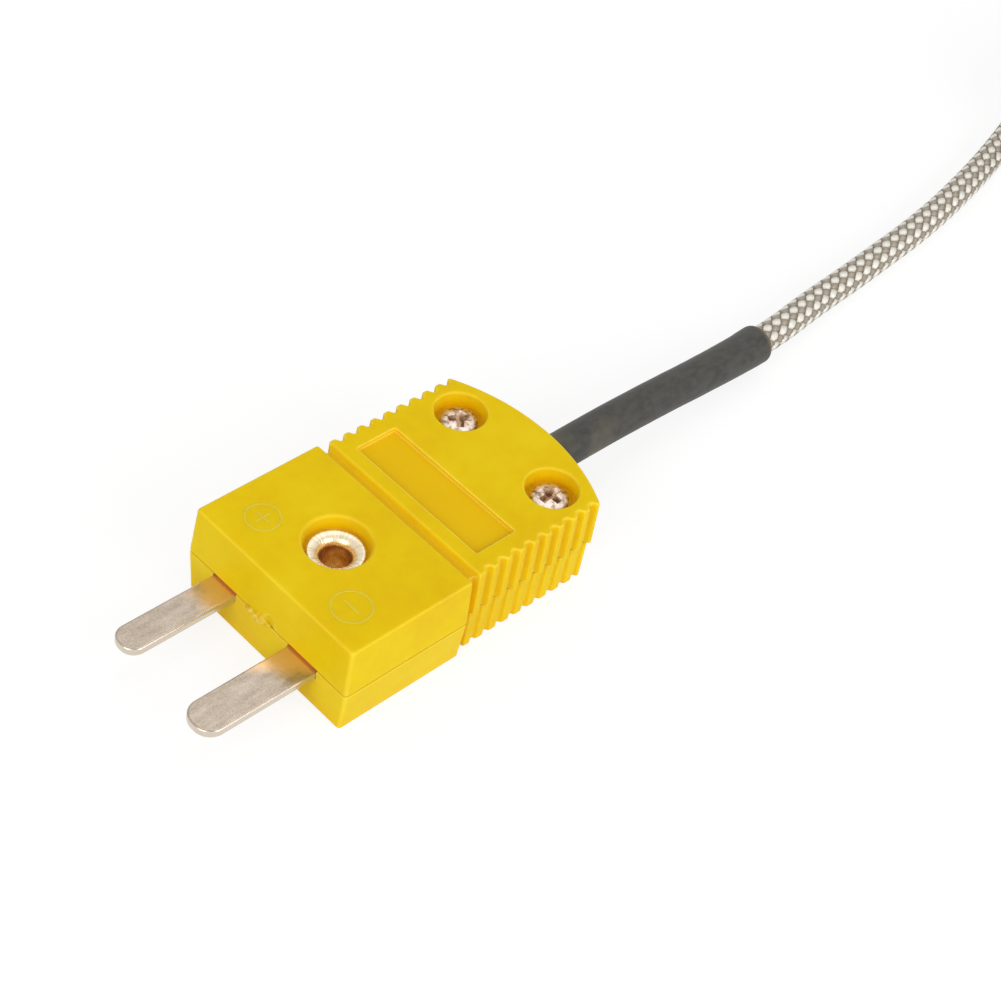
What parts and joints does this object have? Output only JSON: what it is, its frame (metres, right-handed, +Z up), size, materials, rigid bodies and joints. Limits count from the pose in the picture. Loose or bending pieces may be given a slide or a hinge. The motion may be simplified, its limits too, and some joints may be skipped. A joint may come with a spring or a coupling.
{
  "type": "thermocouple probe",
  "caption": "Temperature probe with a miniature flat-pin plug, a shrink sleeve, an overbraided lead stored in a hank and a crimped sensing sheath.",
  "frame": {"origin": "on the surface the plug lies on, below the middle of the plug between its pin tips and its back", "axes": "+Z up, -Y along the pins, +Y along the lead, +X to the negative pin's side"},
  "size_m": [0.0224, 0.1732, 0.0083],
  "materials": {
    "yellow_nylon": "moulded, slightly satin",
    "nickel_alloy": "satin alloy strip with bright coined edges",
    "plated_steel": "bright plated",
    "brass": "bright, lightly tinned",
    "black_polyolefin": "satin shrink sleeving",
    "wire_braid": "woven stainless wire",
    "glass_sleeving": "woven glass yarn"
  },
  "bodies": {
    "root": {"top_shell": "yellow_nylon", "bottom_shell": "yellow_nylon", "positive_pin": "nickel_alloy", "negative_pin": "nickel_alloy", "positive_terminal_screw": "plated_steel", "negative_terminal_screw": "plated_steel", "positive_clamp_washer": "plated_steel", "negative_clamp_washer": "plated_steel", "positive_conductor": "nickel_alloy", "negative_conductor": "nickel_alloy", "positive_insulation": "glass_sleeving", "negative_insulation": "glass_sleeving", "cover_screw_left": "plated_steel", "cover_screw_right": "plated_steel", "screw_insert_left": "brass", "screw_insert_right": "brass", "nose_eyelet": "brass", "heat_shrink_sleeve": "black_polyolefin", "lead_cable": "wire_braid", "lead_hank": "wire_braid", "hank_tie": "black_polyolefin", "lead_tail": "wire_braid", "probe_sheath": "plated_steel"}
  },
  "joints": []
}
